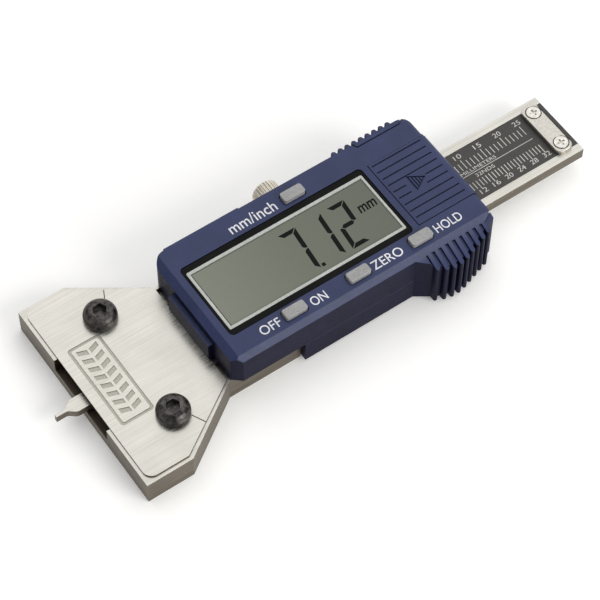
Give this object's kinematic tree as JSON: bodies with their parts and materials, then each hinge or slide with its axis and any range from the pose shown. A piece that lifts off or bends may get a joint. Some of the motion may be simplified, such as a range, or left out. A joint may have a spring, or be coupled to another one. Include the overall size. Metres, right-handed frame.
{
  "type": "tyre tread depth gauge",
  "caption": "Digital tread depth gauge: flared steel foot, sliding flat beam with a blade probe, plastic housing with display, push buttons, knurled locking screw and sliding battery cover.",
  "frame": {"origin": "middle of the gauge's length and width, on the plane it rests on when it lies on its back", "axes": "+X from the measuring face towards the beam's free end, +Y towards the locking screw, +Z out of the display"},
  "size_m": [0.1202, 0.0458, 0.0149],
  "materials": {
    "foot_steel": "fine ground, brushed across the foot",
    "plate_steel": "bright brushed",
    "black_steel": "black oxide, slightly mottled",
    "bare_screw": "plated",
    "knurled_steel": "turned and knurled",
    "bronze": "satin",
    "beam_steel": "ground along its length",
    "probe_steel": "ground",
    "stator": "copper-clad laminate",
    "scale_black": "satin printed film",
    "shell_navy": "fine moulded texture",
    "bezel_black": "gloss",
    "display_white": "smooth",
    "display_glass": "polarised glass",
    "backing": "reflector film",
    "elastomer": "striped silicone",
    "laminate": "solder mask",
    "chip_black": "epoxy",
    "keypad_rubber": "silicone",
    "button_grey": "satin moulded",
    "cell_steel": "nickel plated",
    "contact_gold": "gold plated"
  },
  "bodies": {
    "housing": {"base_frame": "foot_steel", "base_cover_plate": "plate_steel", "base_screws": "black_steel", "gib_strip": "bronze", "gib_screws": "black_steel", "lock_shoe": "bronze", "front_shell": "shell_navy", "rear_cover": "shell_navy", "rear_cover_screws": "bare_screw", "lcd_bezel": "bezel_black", "lcd_frame": "display_white", "lcd_glass": "display_glass", "lcd_backing": "backing", "elastomer_strips": "elastomer", "circuit_board": "laminate", "board_screws": "bare_screw", "controller_chip": "chip_black", "keypad_near": "keypad_rubber", "keypad_far": "keypad_rubber", "battery": "cell_steel", "battery_contact_positive": "contact_gold", "battery_contact_negative": "contact_gold"},
    "measuring_beam": {"beam": "beam_steel", "probe": "probe_steel", "probe_rivets": "bare_screw", "stator_strip": "stator", "scale_label": "scale_black", "stop_plate": "plate_steel", "stop_plate_screws": "bare_screw"},
    "cover": {"battery_cover": "shell_navy"},
    "key_units": {"button_units": "button_grey"},
    "key_power": {"button_power": "button_grey"},
    "key_zero": {"button_zero": "button_grey"},
    "key_hold": {"button_hold": "button_grey"},
    "clamp_screw": {"lock_screw": "knurled_steel"}
  },
  "joints": [
    {"name": "beam_slide", "type": "slide", "parent": "housing", "child": "measuring_beam", "axis": [1, 0, 0], "range_m": [-0.022, 0.0058]},
    {"name": "battery_cover_slide", "type": "slide", "parent": "housing", "child": "cover", "axis": [1, 0, 0], "range_m": [0, 0.02]},
    {"name": "units_press", "type": "slide", "parent": "housing", "child": "key_units", "axis": [0, 0, -1], "range_m": [0, 0.0004], "stiffness_N_per_m": 1500, "springref_m": -0.0004},
    {"name": "power_press", "type": "slide", "parent": "housing", "child": "key_power", "axis": [0, 0, -1], "range_m": [0, 0.0004], "stiffness_N_per_m": 1500, "springref_m": -0.0004},
    {"name": "zero_press", "type": "slide", "parent": "housing", "child": "key_zero", "axis": [0, 0, -1], "range_m": [0, 0.0004], "stiffness_N_per_m": 1500, "springref_m": -0.0004},
    {"name": "hold_press", "type": "slide", "parent": "housing", "child": "key_hold", "axis": [0, 0, -1], "range_m": [0, 0.0004], "stiffness_N_per_m": 1500, "springref_m": -0.0004},
    {"name": "lock_turn", "type": "hinge", "parent": "housing", "child": "clamp_screw", "pos_m": [0.00153, 0.0152, 0.00445], "axis": [0, -1, 0], "range_deg": [0, 180]}
  ]
}
